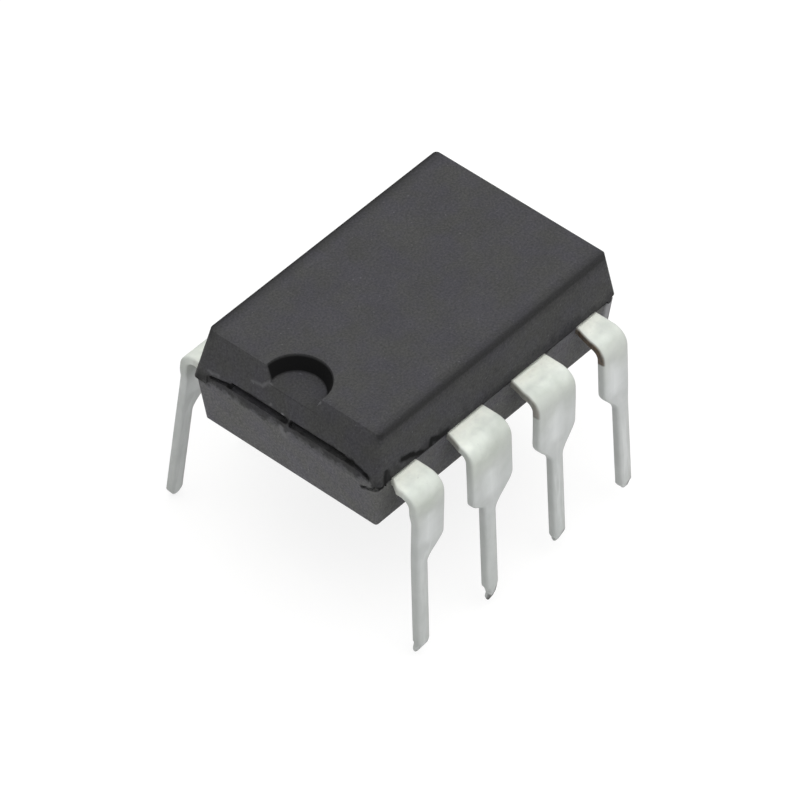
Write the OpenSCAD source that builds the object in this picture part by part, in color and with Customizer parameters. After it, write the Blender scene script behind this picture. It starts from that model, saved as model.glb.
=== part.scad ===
// Eight-lead dual in-line integrated circuit, standing on the tips of its leads.
// Millimetres. X runs along the body, with the index notch at the -X end. Y runs across the two
// rows of leads and Z is up. The origin lies under the middle of the lead field, in the plane of
// the longest lead tips. Leads 1 to 4 stand on the -Y side from the notch on, leads 5 to 8 come
// back along the +Y side, so lead 8 faces lead 1.

/* [Body] */
// height of the lead frame's middle plane over the lead tips
frame_height = 5.81; // [5.3:0.01:6.4]
// moulded thickness over the frame's middle plane
body_rise = 1.82; // [1.7:0.01:2.1]
// moulded thickness under the frame's middle plane
body_drop = 1.36; // [1.2:0.01:1.6]
// width across the two long sides at the parting line
body_width = 6.26; // [6:0.01:6.6]
// how far the body sits toward the far end from the middle of the lead field
body_shift = 0.08; // [0:0.01:0.12]
// body left beyond the outer edge of each end lead
end_wall = 0.69; // [0.6:0.01:0.95]
// how far each long side leans in from the parting line to the top
side_draft_top = 0.2; // [0.1:0.01:0.3]
// how far each end leans in from the parting line to the top
end_draft_top = 0.3; // [0.15:0.01:0.4]
// how far each long side leans in from the parting line to the underside
side_draft_under = 0.12; // [0.05:0.01:0.25]
// how far each end leans in from the parting line to the underside
end_draft_under = 0.14; // [0.1:0.01:0.3]
// how far the upper half stands out past the lower half all round
halves_step = 0.06; // [0.03:0.01:0.1]
// radius of the two upright corners at the notch end
notch_end_round = 0.14; // [0.05:0.01:0.3]
// radius of the two upright corners at the far end
far_end_round = 0.12; // [0.05:0.01:0.3]
// diameter of the shallow ejector mark under the body
ejector_dia = 1.5; // [1:0.1:2.2]
// depth of the shallow ejector mark
ejector_depth = 0.06; // [0.04:0.01:0.1]

/* [Index notch] */
// radius of the half-round index notch at the top face
notch_radius = 0.95; // [0.8:0.01:1.1]
// radius of its floor, smaller because its wall leans
notch_floor_radius = 0.77; // [0.6:0.01:0.79]
// depth of the index notch below the top face
notch_depth = 0.5; // [0.3:0.01:0.8]
// how far the notch's centre lies inside the top edge
notch_inset = 0.12; // [0:0.01:0.25]

/* [End slits] */
// height of the slits over the frame's middle plane
slit_level = 0.42; // [0.28:0.01:0.5]
// opening of the slits
slit_gap = 0.23; // [0.08:0.01:0.26]
// depth of the slits into each end
slit_depth = 0.34; // [0.2:0.01:0.45]
// body left between a slit and the long side
slit_post = 0.36; // [0.3:0.01:0.8]
// width of the web between the two slits of an end
slit_web = 0.16; // [0.1:0.01:0.4]

/* [Leads] */
// spacing of the leads in a row
lead_spacing = 2.54; // [2.45:0.01:2.6]
// thickness of the lead frame strip
strip = 0.254; // [0.2:0.002:0.28]
// width of the shoulders of the four inner leads
shoulder_width = 1.52; // [1.3:0.01:1.6]
// shoulder of an end lead on its outer side at the body, from the lead's centre line
end_shoulder_out = 0.3; // [0.27:0.01:0.36]
// the same at the bend of leads 1 and 8
notch_shoulder_out = 0.47; // [0.27:0.01:0.55]
// length over which the shoulders of leads 1 and 8 widen outside the body
shoulder_flare = 0.25; // [0.1:0.01:0.3]
// how far below the bend they have narrowed again to the width at the body
shoulder_narrow = 0.5; // [0.3:0.01:0.9]
// shoulder of an end lead on its inner side, from the lead's centre line
end_shoulder_in = 0.7; // [0.5:0.01:0.76]
// width of the narrow shank
shank_width = 0.45; // [0.38:0.01:0.52]
// inside radius of the right-angle bend
bend_radius = 0.24; // [0.12:0.01:0.28]
// length of full-width shoulder below the bend
shoulder_drop = 1.18; // [1:0.01:1.4]
// length of the taper from shoulder to shank
taper_length = 0.92; // [0.7:0.01:1.1]
// length of the pointed tip
point_length = 0.42; // [0.3:0.01:0.6]
// width of the pointed tip at its end
point_width = 0.16; // [0.12:0.01:0.3]
// length over which the tip is thinned from both faces
thin_length = 0.22; // [0.1:0.01:0.28]
// thickness left at the end of the tip
point_thick = 0.11; // [0.08:0.01:0.18]
// how far each lead stands out from the body to the outer face of its bend, lead 1 first
lead_reach = [0.87, 0.95, 0.96, 1.02, 0.96, 0.96, 0.96, 0.96]; // [0.8:0.01:1.2]
// outward splay of each lead in degrees
lead_splay = [2.8, 3.8, 4.4, 5.3, 6, 6, 6, 6.8]; // [0:0.1:8]
// how far each shank is bent aside along the body, toward the far end
shank_shift = [-0.18, -0.14, 0, 0.04, 0.04, 0, -0.14, -0.16]; // [-0.25:0.01:0.25]
// height of each tip over the plane of the longest tips
tip_height = [0.17, 0.17, 0.43, 0.4, 0, 0, 0, 0]; // [0:0.01:0.6]

/* [Lead frame inside] */
// length of the die paddle along the body
paddle_length = 3; // [2.6:0.05:3.3]
// width of the die paddle
paddle_width = 2.2; // [1.8:0.05:2.4]
// how far the paddle is set down below the leads
paddle_down = 0.25; // [0.15:0.01:0.35]
// length of each sloped step in the tie bars
down_run = 0.4; // [0.3:0.01:0.5]
// width of the two tie bars that hold the paddle
tie_width = 0.3; // [0.2:0.01:0.4]
// gap between the paddle and the lead fingers
finger_gap = 0.25; // [0.2:0.01:0.35]
// width of a finger where its wire lands
finger_width = 0.55; // [0.45:0.01:0.65]
// how far the slanted finger of an end lead widens behind its landing
finger_flare = 0.38; // [0.25:0.01:0.5]
// how far a wire lands behind the end of its finger
landing_inset = 0.18; // [0.12:0.01:0.24]
// straight root of each lead inside the body
root_length = 0.45; // [0.3:0.01:0.6]
// length over which an inner lead narrows from its root to its finger
root_neck = 0.45; // [0.3:0.01:0.6]

/* [Die and wires] */
// length of the silicon die
die_length = 1.9; // [1.5:0.05:2.1]
// width of the silicon die
die_width = 1.4; // [1.1:0.05:1.55]
// thickness of the silicon die
die_thick = 0.3; // [0.2:0.01:0.4]
// thickness of the die attach layer
attach_thick = 0.03; // [0.02:0.005:0.05]
// how far the die attach shows round the die
attach_margin = 0.05; // [0.03:0.01:0.1]
// diameter of a bond wire
wire_dia = 0.05; // [0.04:0.002:0.06]
// rise of a wire's arc over the straight line from its pad to its landing
loop_rise = 0.3; // [0.2:0.01:0.4]
// diameter of the ball and the stitch where a wire is bonded
bond_dia = 0.1; // [0.08:0.005:0.12]
// height of the ball and the stitch
bond_height = 0.025; // [0.02:0.005:0.03]
// inset of the bond pads from the die's edge
pad_inset = 0.16; // [0.12:0.01:0.2]
// how far the pads of the inner leads lie from the die's middle, along the body
pad_along = 0.48; // [0.3:0.01:0.55]
// how far the pads of the end leads lie from the die's middle, across the body
pad_across = 0.35; // [0.25:0.01:0.4]

/* [View] */
// which sub-part is drawn

/* [Hidden] */

row_leads = 4;
row_half = lead_spacing * (row_leads - 1) / 2;
half_l = row_half + end_shoulder_out + end_wall;
half_w = body_width / 2;
low_l = half_l - halves_step;
low_w = half_w - halves_step;
part_z = strip / 2;
notch_x = -(half_l - end_draft_top) + notch_inset;
shoulder_half = shoulder_width / 2;
shank_half = shank_width / 2;
bend_outer = bend_radius + strip;
paddle_top = strip / 2 - paddle_down;
attach_top = paddle_top + attach_thick;
die_top = attach_top + die_thick;
tip_near_x = paddle_length / 2 + finger_gap;
tip_near_y = tie_width / 2 + finger_gap;
mid_tip_y = paddle_width / 2 + finger_gap;
slit_half = half_w - slit_post;
shoulder_up = strip / 2 + bend_radius;
bend_lap = strip / 4;
notch_lean = (notch_radius - notch_floor_radius) / notch_depth;

// How far a cutting shape runs past what it cuts, and the fineness of curves and of the taper.
over = 1;
fn_large = 64;
fn_small = 24;
fn_wire = 16;
taper_steps = 8;

epoxy = [0.3, 0.3, 0.31];
tin = [0.78, 0.79, 0.78];
copper = [0.72, 0.5, 0.36];
silver = [0.75, 0.75, 0.73];
silicon = [0.35, 0.38, 0.44];
gold = [0.9, 0.72, 0.3];

// Lead n counts from 1. Its row is on the -Y side for 1 to 4 and on the +Y side for 5 to 8.
function side_of(n) = n <= row_leads ? -1 : 1;
function slot_of(n) = n <= row_leads ? n - 1 : 2 * row_leads - n;
function lead_x(n) = slot_of(n) * lead_spacing - row_half;
function is_end(n) = slot_of(n) == 0 || slot_of(n) == row_leads - 1;
function end_sign(n) = lead_x(n) < 0 ? -1 : 1;

// A block with two leaning pairs of sides, between heights z0 and z1.
module tapered(l0, w0, z0, l1, w1, z1) {
    intersection() {
        rotate([90, 0, 0])
            linear_extrude(2 * half_w + 2 * over, center = true)
                polygon([[-l0, z0], [l0, z0], [l1, z1], [-l1, z1]]);
        rotate([90, 0, 90])
            linear_extrude(2 * half_l + 2 * over, center = true)
                polygon([[-w0, z0], [w0, z0], [w1, z1], [-w1, z1]]);
    }
}

// The upright corners: a wider round at the notch end than at the far end.
module corner_prism(l, w) {
    translate([0, 0, -body_drop - over])
        linear_extrude(body_rise + body_drop + 2 * over)
            union() {
                translate([-l + notch_end_round, -w])
                    square([2 * l - notch_end_round - far_end_round, 2 * w]);
                translate([-l, -w + notch_end_round])
                    square([notch_end_round, 2 * w - 2 * notch_end_round]);
                translate([l - far_end_round, -w + far_end_round])
                    square([far_end_round, 2 * w - 2 * far_end_round]);
                for (s = [-1, 1]) {
                    translate([-l + notch_end_round, s * (w - notch_end_round)])
                        circle(notch_end_round, $fn = fn_large);
                    translate([l - far_end_round, s * (w - far_end_round)])
                        circle(far_end_round, $fn = fn_small);
                }
            }
}

// Slits below the lip of the upper half, two at each end, with the shallow band below them.
module end_slits() {
    for (e = [-1, 1], s = [-1, 1]) {
        translate([e * (half_l - slit_depth / 2 + over / 2), s * (slit_half + slit_web / 2) / 2,
                slit_level + slit_gap / 2])
            cube([slit_depth + over, slit_half - slit_web / 2, slit_gap], center = true);
    }
    for (e = [-1, 1])
        translate([e * (low_l + over / 2), 0, (slit_level + part_z) / 2])
            cube([over, 2 * slit_half, slit_level - part_z], center = true);
}

// Strip outline seen from above, from the finger that the wire lands on out past the bend.
// Local frame: the lead leaves the body along +Y.
module plan_outline(x, e, is_last, bend_out, past_bend) {
    inner = x - e * end_shoulder_in;
    outer = x + e * end_shoulder_out;
    root_y = low_w - root_length;
    if (is_last)
        polygon([[x + e * bend_out, past_bend], [inner, past_bend], [inner, root_y],
            [e * (tip_near_x + finger_flare), tip_near_y + finger_width],
            [e * tip_near_x, tip_near_y + finger_width], [e * tip_near_x, tip_near_y],
            [e * (tip_near_x + finger_width), tip_near_y], [outer, root_y],
            [outer, half_w], [x + e * bend_out, half_w + shoulder_flare]]);
    else
        polygon([[x - shoulder_half, past_bend], [x + shoulder_half, past_bend],
            [x + shoulder_half, root_y], [x + finger_width / 2, root_y - root_neck],
            [x + finger_width / 2, mid_tip_y], [x - finger_width / 2, mid_tip_y],
            [x - finger_width / 2, root_y - root_neck], [x - shoulder_half, root_y]]);
}

// Strip outline down the leg: shoulder, curved taper, shank and point. lo and hi are the
// shoulder's two edges, widened by lo_more and hi_more at the bend, and mid is the middle of the
// shank, all from the lead's place in its row.
module leg_outline(lo, hi, lo_more, hi_more, mid, leg) {
    left = mid - shank_half;
    right = mid + shank_half;
    ease = [for (i = [0:taper_steps]) (1 - cos(180 * i / taper_steps)) / 2];
    down = [for (i = [0:taper_steps]) shoulder_drop + taper_length * i / taper_steps];
    polygon(concat(
        [[hi + hi_more, 0]],
        [if (hi_more > 0) each [[hi + hi_more, 2 * bend_lap], [hi, shoulder_narrow]]],
        [for (i = [0:taper_steps]) [hi + (right - hi) * ease[i], down[i]]],
        [[right, leg - point_length], [mid + point_width / 2, leg],
            [mid - point_width / 2, leg], [left, leg - point_length]],
        [for (i = [taper_steps:-1:0]) [lo + (left - lo) * ease[i], down[i]]],
        [if (lo_more > 0) each [[lo, shoulder_narrow], [lo - lo_more, 2 * bend_lap]]],
        [[lo - lo_more, 0]]));
}

// The bent strip about the axis of its bend: flat run, round bend and splayed leg, thinned from
// both faces at its end. The run and the leg each lap into the bend with a small tongue.
module bent_strip(run, splay, leg) {
    clear = 2 * bend_outer;
    middle = bend_radius + strip / 2;
    linear_extrude(2 * half_l, center = true)
        polygon([[-run, bend_radius], [0, bend_radius], [bend_lap, middle], [0, bend_outer],
            [-run, bend_outer]]);
    linear_extrude(2 * half_l, center = true) intersection() {
        difference() {
            circle(bend_outer, $fn = fn_large);
            circle(bend_radius, $fn = fn_large);
        }
        polygon([[0, 0], [clear * cos(splay), clear * sin(splay)], [clear, clear], [0, clear]]);
    }
    rotate(splay) linear_extrude(2 * half_l, center = true)
        polygon([[bend_radius, 0], [middle, bend_lap], [bend_outer, 0],
            [bend_outer, thin_length - leg], [middle + point_thick / 2, -leg],
            [middle - point_thick / 2, -leg], [bend_radius, thin_length - leg]]);
}

// One stamped and bent lead with its inner finger: the bent strip, kept where it lies in the
// outline from above or in the outline down the leg.
module lead(n) {
    side = side_of(n);
    x = side * lead_x(n);
    e = side * end_sign(n);
    last = is_end(n);
    bend_out = lead_x(n) < 0 ? notch_shoulder_out : end_shoulder_out;
    more = last ? bend_out - end_shoulder_out : 0;
    lo = last ? (e > 0 ? -end_shoulder_in : -end_shoulder_out) : -shoulder_half;
    hi = last ? (e > 0 ? end_shoulder_out : end_shoulder_in) : shoulder_half;
    splay = lead_splay[n - 1];
    bend_y = half_w + lead_reach[n - 1] - bend_outer;
    leg = (frame_height - tip_height[n - 1] - shoulder_up + (bend_radius + strip / 2) * sin(splay))
        / cos(splay);
    translate([0, 0, frame_height]) rotate([0, 0, side > 0 ? 0 : 180]) intersection() {
        translate([0, bend_y, -shoulder_up]) rotate([90, 0, 90]) bent_strip(bend_y, splay, leg);
        union() {
            translate([0, 0, -shoulder_up - bend_lap])
                linear_extrude(shoulder_up + bend_lap + strip)
                    plan_outline(x, e, last, bend_out, bend_y + bend_outer + over);
            translate([x, bend_y, -shoulder_up]) rotate([splay - 90, 0, 0])
                linear_extrude(bend_outer + over)
                    leg_outline(lo, hi, e > 0 ? 0 : more, e > 0 ? more : 0,
                        side * shank_shift[n - 1], leg);
        }
    }
}

// Where wire n starts on the die and where it lands on its finger, in the plane.
function pad_at(n) = [
    end_sign(n) * (is_end(n) ? die_length / 2 - pad_inset : pad_along),
    side_of(n) * (is_end(n) ? pad_across : die_width / 2 - pad_inset)];
function stitch_at(n) = is_end(n)
    ? [end_sign(n) * (tip_near_x + landing_inset), side_of(n) * (tip_near_y + finger_width / 2)]
    : [lead_x(n), side_of(n) * (mid_tip_y + landing_inset)];

// One bond wire: the ball on its pad, an arc over the die's edge and the stitch on its finger.
// The arc is the part of a ring that lies over the die and, past the ring's middle, over the finger.
module wire(n) {
    from = pad_at(n);
    to = stitch_at(n);
    run = norm(to - from);
    heading = atan2(to[1] - from[1], to[0] - from[0]);
    fall = die_top - strip / 2;
    chord = norm([run, fall]);
    ring = (chord * chord / 4 + loop_rise * loop_rise) / (2 * loop_rise);
    ring_x = run / 2 - (ring - loop_rise) * fall / chord;
    ring_z = (die_top + strip / 2) / 2 - (ring - loop_rise) * run / chord;
    translate([from[0], from[1], frame_height]) rotate([0, 0, heading]) union() {
        translate([0, 0, die_top]) cylinder(d = bond_dia, h = bond_height, $fn = fn_small);
        intersection() {
            translate([ring_x, 0, ring_z]) rotate([90, 0, 0])
                rotate_extrude($fn = fn_large) translate([ring, 0]) circle(d = wire_dia, $fn = fn_wire);
            rotate([90, 0, 0]) linear_extrude(2 * wire_dia, center = true)
                polygon([[ring_x - ring - over, die_top], [ring_x, die_top], [ring_x, strip / 2],
                    [ring_x + ring + over, strip / 2], [ring_x + ring + over, ring + over],
                    [ring_x - ring - over, ring + over]]);
        }
        translate([run, 0, strip / 2]) cylinder(d = bond_dia, h = bond_height, $fn = fn_small);
    }
}

// The paddle with its two tie bars, set down by a sloped step on each side.
module paddle_shape() {
    step_in = paddle_length / 2 + finger_gap / 2;
    step_out = step_in + down_run;
    translate([0, 0, frame_height]) intersection() {
        rotate([90, 0, 0])
            linear_extrude(paddle_width + over, center = true)
                polygon([[-half_l, strip / 2], [-step_out, strip / 2], [-step_in, paddle_top],
                    [step_in, paddle_top], [step_out, strip / 2], [half_l, strip / 2],
                    [half_l, -strip / 2], [step_out, -strip / 2], [step_in, paddle_top - strip],
                    [-step_in, paddle_top - strip], [-step_out, -strip / 2], [-half_l, -strip / 2]]);
        translate([0, 0, -over]) linear_extrude(2 * over) union() {
            square([paddle_length, paddle_width], center = true);
            square([2 * half_l, tie_width], center = true);
        }
        translate([body_shift, 0, 0]) lower_half();
    }
}

module attach_shape() {
    translate([0, 0, frame_height + paddle_top + attach_thick / 2])
        cube([die_length + 2 * attach_margin, die_width + 2 * attach_margin, attach_thick], center = true);
}

module die_shape() {
    translate([0, 0, frame_height + attach_top + die_thick / 2])
        cube([die_length, die_width, die_thick], center = true);
}

module lower_half() {
    tapered(low_l - end_draft_under, low_w - side_draft_under, -body_drop, low_l, low_w, part_z);
}

module upper_half() {
    tapered(half_l, half_w, part_z, half_l - end_draft_top, half_w - side_draft_top, body_rise);
}

// The moulded body: two leaning halves, the notch and the slits, and the room its insides take.
module package_body() {
    color(epoxy) difference() {
        translate([body_shift, 0, frame_height]) difference() {
            intersection() {
                union() {
                    upper_half();
                    lower_half();
                }
                corner_prism(half_l, half_w);
            }
            translate([notch_x, 0, body_rise - notch_depth])
                cylinder(r1 = notch_floor_radius, r2 = notch_radius + notch_lean * over,
                    h = notch_depth + over, $fn = fn_large);
            end_slits();
            translate([0, 0, -body_drop - over])
                cylinder(d = ejector_dia, h = over + ejector_depth, $fn = fn_large);
        }
        for (n = [1:2 * row_leads]) lead(n);
        paddle_shape();
        attach_shape();
        die_shape();
        for (n = [1:2 * row_leads]) wire(n);
    }
}

module pin_1() { color(tin) lead(1); }
module pin_2() { color(tin) lead(2); }
module pin_3() { color(tin) lead(3); }
module pin_4() { color(tin) lead(4); }
module pin_5() { color(tin) lead(5); }
module pin_6() { color(tin) lead(6); }
module pin_7() { color(tin) lead(7); }
module pin_8() { color(tin) lead(8); }
module die_paddle() { color(copper) paddle_shape(); }
module die_attach() { color(silver) attach_shape(); }
module silicon_die() { color(silicon) die_shape(); }
module bond_wire_1() { color(gold) wire(1); }
module bond_wire_2() { color(gold) wire(2); }
module bond_wire_3() { color(gold) wire(3); }
module bond_wire_4() { color(gold) wire(4); }
module bond_wire_5() { color(gold) wire(5); }
module bond_wire_6() { color(gold) wire(6); }
module bond_wire_7() { color(gold) wire(7); }
module bond_wire_8() { color(gold) wire(8); }

package_body();
pin_1();
pin_2();
pin_3();
pin_4();
pin_5();
pin_6();
pin_7();
pin_8();
die_paddle();
die_attach();
silicon_die();
bond_wire_1();
bond_wire_2();
bond_wire_3();
bond_wire_4();
bond_wire_5();
bond_wire_6();
bond_wire_7();
bond_wire_8();
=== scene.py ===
# %% [markdown]
# # A moulded integrated circuit on its own leads
#
# The object is an eight-lead dual in-line package, standing on the tips of its leads. Its body is
# charcoal epoxy with a half-round index notch. Its leads are stamped from thin strip, bent over a
# former and dipped in tin. This lesson loads the exact solids first.

# %% Load the solids as a fixed frame
import math

import bmesh
import bpy
from mathutils import Matrix, Vector


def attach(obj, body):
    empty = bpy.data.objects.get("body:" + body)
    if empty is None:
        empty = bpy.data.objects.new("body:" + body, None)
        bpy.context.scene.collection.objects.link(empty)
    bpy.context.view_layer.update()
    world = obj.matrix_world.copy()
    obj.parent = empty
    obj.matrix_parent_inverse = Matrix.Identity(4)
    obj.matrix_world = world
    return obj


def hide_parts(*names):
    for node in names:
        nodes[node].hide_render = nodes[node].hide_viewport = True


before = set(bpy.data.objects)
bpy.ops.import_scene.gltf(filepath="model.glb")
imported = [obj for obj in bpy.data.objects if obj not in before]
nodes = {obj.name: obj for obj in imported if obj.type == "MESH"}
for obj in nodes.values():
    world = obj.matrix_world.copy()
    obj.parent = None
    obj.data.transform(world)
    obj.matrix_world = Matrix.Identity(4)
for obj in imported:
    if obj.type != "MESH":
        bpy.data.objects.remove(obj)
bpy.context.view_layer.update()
MM = 0.001

# %% [markdown]
# ## The camera
#
# The photograph was taken from above the notch end with a long lens, so parallel edges stay nearly
# parallel. Such a camera could be placed by eye. Here its direction, distance and focal length come
# from a fit to the corners of the body and to the roots of the leads, and are given as the angles a
# photographer would set: round the object, above the horizon, and a slight roll.

# %% Place the camera
frame_height = 5.81 * MM
view_round = math.radians(-50.124)
view_above = math.radians(45.279)
view_roll = math.radians(1.404)
view_distance = 182.81 * MM
aim_right = -0.141 * MM
aim_up = -1.517 * MM
focal_length = 315.04

back = Vector((math.sin(view_round) * math.cos(view_above),
               -math.cos(view_round) * math.cos(view_above), math.sin(view_above)))
level_right = (-back).cross(Vector((0, 0, 1))).normalized()
level_up = level_right.cross(-back)
right = level_right * math.cos(view_roll) + level_up * math.sin(view_roll)
up = level_up * math.cos(view_roll) - level_right * math.sin(view_roll)
camera_place = back * view_distance + right * aim_right + up * aim_up + Vector((0, 0, frame_height))
bpy.ops.object.camera_add(location=camera_place)
camera = bpy.context.object
camera.name = "camera"
camera.rotation_euler = Matrix((right, up, back)).transposed().to_euler()
camera.data.lens = focal_length
camera.data.sensor_width = 36
camera.data.clip_start = 0.01
camera.data.clip_end = 5
bpy.context.scene.camera = camera
bpy.context.scene.view_settings.view_transform = "Standard"
print("camera at", [round(v / MM, 1) for v in camera.location], "mm")

# %% [markdown]
# ## Helpers for working by hand
#
# An operator acts on everything that is selected, so each step first clears the selection and then
# picks what it needs by its place. These short helpers do that and nothing more: they select, they
# move one corner to a given place, and they apply a modifier.


# %% Selecting, placing and applying
def deselect():
    if bpy.context.object and bpy.context.object.mode != "OBJECT":
        bpy.ops.object.mode_set(mode="OBJECT")
    bpy.ops.object.select_all(action="DESELECT")


def edit_mesh():
    return bmesh.from_edit_mesh(bpy.context.object.data)


def pick(kind, test):
    """In edit mode, selects the vertices, edges or faces that pass the test, and counts them."""
    bpy.ops.mesh.select_mode(type={"verts": "VERT", "edges": "EDGE", "faces": "FACE"}[kind])
    bpy.ops.mesh.select_all(action="DESELECT")
    mesh = edit_mesh()
    found = [part for part in getattr(mesh, kind) if test(part)]
    for part in found:
        part.select_set(True)
    mesh.select_flush_mode()
    bmesh.update_edit_mesh(bpy.context.object.data)
    return len(found)


def middle(part):
    return sum((v.co for v in part.verts), Vector()) / len(part.verts)


def apply_modifier(kind, **settings):
    bpy.ops.object.modifier_add(type=kind)
    modifier = bpy.context.object.modifiers[-1]
    for name, value in settings.items():
        setattr(modifier, name, value)
    bpy.ops.object.modifier_apply(modifier=modifier.name)


def finish_piece(name, smooth_angle=35):
    """Names the piece, puts its place into its mesh and smooths its soft edges."""
    piece = bpy.context.object
    piece.name = name
    piece.data.name = name
    bpy.ops.object.transform_apply(location=True, rotation=True, scale=True)
    bpy.ops.object.shade_smooth_by_angle(angle=math.radians(smooth_angle))
    print(name, "faces:", len(piece.data.polygons))
    return piece


# %% [markdown]
# ## Sizes of the moulded body
#
# The body is moulded in two halves that meet at the top of the lead frame. Each half leans in a
# little, so that it leaves its mould, and the upper half stands out past the lower one all round.
# The sizes are the ones the solids were made from, in millimetres turned to metres.

# %% Body sizes
strip = 0.254 * MM
body_rise = 1.82 * MM
body_drop = 1.36 * MM
half_width = 3.13 * MM
half_length = 4.8 * MM
body_shift = 0.08 * MM
side_draft_top, end_draft_top = 0.2 * MM, 0.3 * MM
side_draft_under, end_draft_under = 0.12 * MM, 0.14 * MM
halves_step = 0.06 * MM
notch_end_round, far_end_round = 0.14 * MM, 0.12 * MM
parting_z = frame_height + strip / 2
top_z = frame_height + body_rise
under_z = frame_height - body_drop
print("body from z", round(under_z / MM, 2), "to", round(top_z / MM, 2), "parting at", round(parting_z / MM, 3))

# %% [markdown]
# ## The two halves of the body
#
# A real body is one casting. It could be modelled as two boxes joined together, but one box that
# grows downwards keeps the surface closed. The box starts as the upper half, its top face is drawn
# in for the draft, its upright corners are bevelled, and the underside is inset by the step between
# the halves, pulled down and drawn in again.

# %% Upper half
deselect()
bpy.ops.mesh.primitive_cube_add(size=1, location=(body_shift, 0, (top_z + parting_z) / 2),
                                scale=(2 * half_length, 2 * half_width, top_z - parting_z))
bpy.ops.object.transform_apply(location=True, rotation=False, scale=True)
bpy.ops.object.mode_set(mode="EDIT")
middle_x = (body_shift, 0, 0)
pick("faces", lambda f: f.normal.z > 0.9)
bpy.ops.transform.resize(value=(1 - end_draft_top / half_length, 1 - side_draft_top / half_width, 1),
                         center_override=middle_x)
for side, radius in ((-1, notch_end_round), (1, far_end_round)):
    corners = pick("edges", lambda e: abs(e.verts[0].co.z - e.verts[1].co.z) > 0.5 * body_rise
                   and (middle(e).x - body_shift) * side > 0)
    bpy.ops.mesh.bevel(offset=radius, segments=4, affect="EDGES", clamp_overlap=False)
    print("upright corners rounded:", corners)

# %% Lower half
pick("faces", lambda f: f.normal.z < -0.9)
bpy.ops.mesh.inset(thickness=halves_step)
bpy.ops.mesh.extrude_region_move(TRANSFORM_OT_translate={"value": (0, 0, under_z - parting_z)})
bpy.ops.transform.resize(value=(1 - end_draft_under / half_length, 1 - side_draft_under / half_width, 1),
                         center_override=middle_x)
print("lower half pulled down by mm:", round((parting_z - under_z) / MM, 2))

# %% [markdown]
# ## Small faults of this body
#
# Seen from close by, this body is not quite regular: its far left corner bulges at the parting line,
# and one far corner is rounded off. Such faults are small moves of vertices and two cuts with Bisect,
# made while the mesh still has few faces.

# %% Bulge and worn corner
corner_bulge, worn_corner = 0.1 * MM, 0.13 * MM
tiny = 0.001 * MM
bpy.ops.mesh.select_all(action="SELECT")
bpy.ops.mesh.bisect(plane_co=(-4.2 * MM, 0, 0), plane_no=(1, 0, 0))
pick("verts", lambda v: abs(v.co.z - parting_z) < tiny and v.co.x < -4.25 * MM and v.co.y > 2.85 * MM)
bpy.ops.transform.translate(value=(0, corner_bulge, 0))
corner = Vector((body_shift + half_length - end_draft_top, side_draft_top - half_width, top_z))
for tilt, depth in ((0.7, 1.0), (1.6, 0.6)):
    outward = Vector((1, -1, tilt)).normalized()
    bpy.ops.mesh.select_all(action="SELECT")
    bpy.ops.mesh.bisect(plane_co=corner - outward * worn_corner * depth, plane_no=outward,
                        clear_outer=True, use_fill=True)
bpy.ops.mesh.select_all(action="SELECT")
bpy.ops.mesh.remove_doubles(threshold=1e-7)
bpy.ops.mesh.normals_make_consistent(inside=False)
bpy.ops.object.mode_set(mode="OBJECT")
body = bpy.context.object
print("body halves, faces:", len(body.data.polygons))

# %% [markdown]
# ## Notch, end slits and ejector mark
#
# The mould leaves three kinds of hollow. The index notch shows where lead 1 is. A thin slit runs
# across each end under the lip of the upper half, broken by a web in the middle, with a shallow step
# below it. A round ejector mark lies in the underside. Along both long sides a fine groove marks where
# the upper half's lip stands over the leads. Each hollow could be pulled in with insets, but a cutter
# and a Boolean modifier give the clean meeting lines that a steel insert in the mould gives.

# %% Cut the hollows
notch_radius, notch_floor_radius = 0.95 * MM, 0.77 * MM
notch_depth, notch_inset = 0.5 * MM, 0.12 * MM
slit_level, slit_gap, slit_depth = 0.42 * MM, 0.23 * MM, 0.34 * MM
slit_post, slit_web = 0.36 * MM, 0.16 * MM
groove_height, groove_depth = 0.1 * MM, 0.1 * MM
ejector_radius, ejector_depth = 0.75 * MM, 0.06 * MM
slit_half = half_width - slit_post
past = 1 * MM


def cut_with(cutter):
    deselect()
    body.select_set(True)
    bpy.context.view_layer.objects.active = body
    apply_modifier("BOOLEAN", operation="DIFFERENCE", solver="EXACT", object=cutter)
    bpy.data.objects.remove(cutter)


def round_cutter(low_radius, high_radius, low, high, x):
    deselect()
    bpy.ops.mesh.primitive_cone_add(vertices=96, radius1=low_radius, radius2=high_radius,
                                    depth=high - low, location=(x, 0, (low + high) / 2))
    return bpy.context.object


def box_cutter(low, high):
    deselect()
    size = [b - a for a, b in zip(low, high)]
    bpy.ops.mesh.primitive_cube_add(size=1, location=[(a + b) / 2 for a, b in zip(low, high)], scale=size)
    return bpy.context.object


notch_x = body_shift - (half_length - end_draft_top) + notch_inset
notch_lean = (notch_radius - notch_floor_radius) / notch_depth
cut_with(round_cutter(notch_floor_radius, notch_radius + notch_lean * past,
                      top_z - notch_depth, top_z + past, notch_x))
cut_with(round_cutter(ejector_radius, ejector_radius, under_z - past, under_z + ejector_depth, body_shift))
low_length = half_length - halves_step
slit_straight = 1.95 * MM
cut_low = parting_z - 0.01 * MM
for end in (-1, 1):
    for side in (-1, 1):
        xs = sorted((body_shift + end * (half_length - slit_depth), body_shift + end * (half_length + past)))
        ys = sorted((side * slit_web / 2, side * (slit_straight if end < 0 else slit_half)))
        z = frame_height + slit_level
        cut_with(box_cutter((xs[0], ys[0], z), (xs[1], ys[1], z + slit_gap)))
    xs = sorted((body_shift + end * low_length, body_shift + end * (half_length + past)))
    cut_with(box_cutter((xs[0], -slit_half, cut_low), (xs[1], slit_half, frame_height + slit_level)))
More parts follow.
